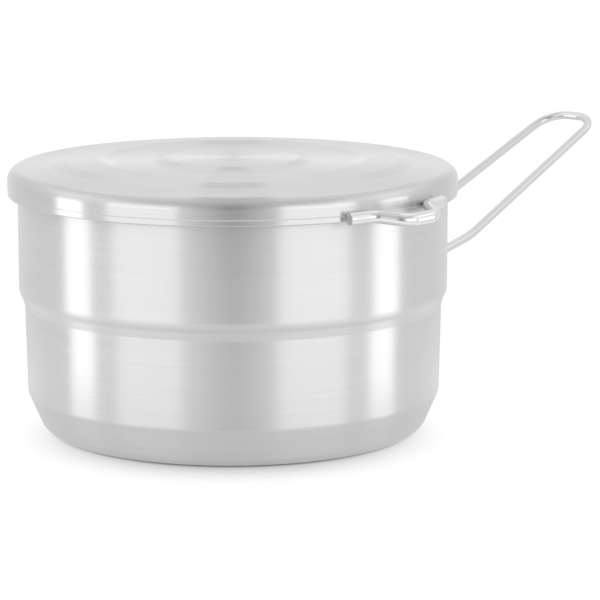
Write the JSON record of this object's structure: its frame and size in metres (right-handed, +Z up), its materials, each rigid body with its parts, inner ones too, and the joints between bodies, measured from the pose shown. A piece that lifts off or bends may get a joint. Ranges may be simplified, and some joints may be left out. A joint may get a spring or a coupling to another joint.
{
  "type": "camping pot",
  "caption": "Stepped stainless steel camping pot with a skirted lid, a wire loop on the lid and a long wire handle that swings over it.",
  "frame": {"origin": "centre of the flat underside", "axes": "+Z up along the pot's axis, +X along the handle, -Y towards the loop on the lid"},
  "size_m": [0.3054, 0.1952, 0.1094],
  "materials": {
    "brushed_body": "brushed round the wall",
    "brushed_lid": "brushed in circles",
    "polished_loop": "polished",
    "bracket_sheet": "satin",
    "handle_wire_steel": "drawn and polished"
  },
  "bodies": {
    "pot": {"pot_body": "brushed_body", "handle_bracket": "bracket_sheet"},
    "lid": {"lid": "brushed_lid", "lid_loop": "polished_loop"},
    "handle": {"handle_wire": "handle_wire_steel"}
  },
  "joints": [
    {"name": "lid_lift", "type": "slide", "parent": "pot", "child": "lid", "axis": [0, 0, 1], "range_m": [0, 0.07]},
    {"name": "handle_fold", "type": "hinge", "parent": "pot", "child": "handle", "pos_m": [0.08935, 0, 0.08796], "axis": [0, -1, 0], "range_deg": [0, 160.5]}
  ]
}
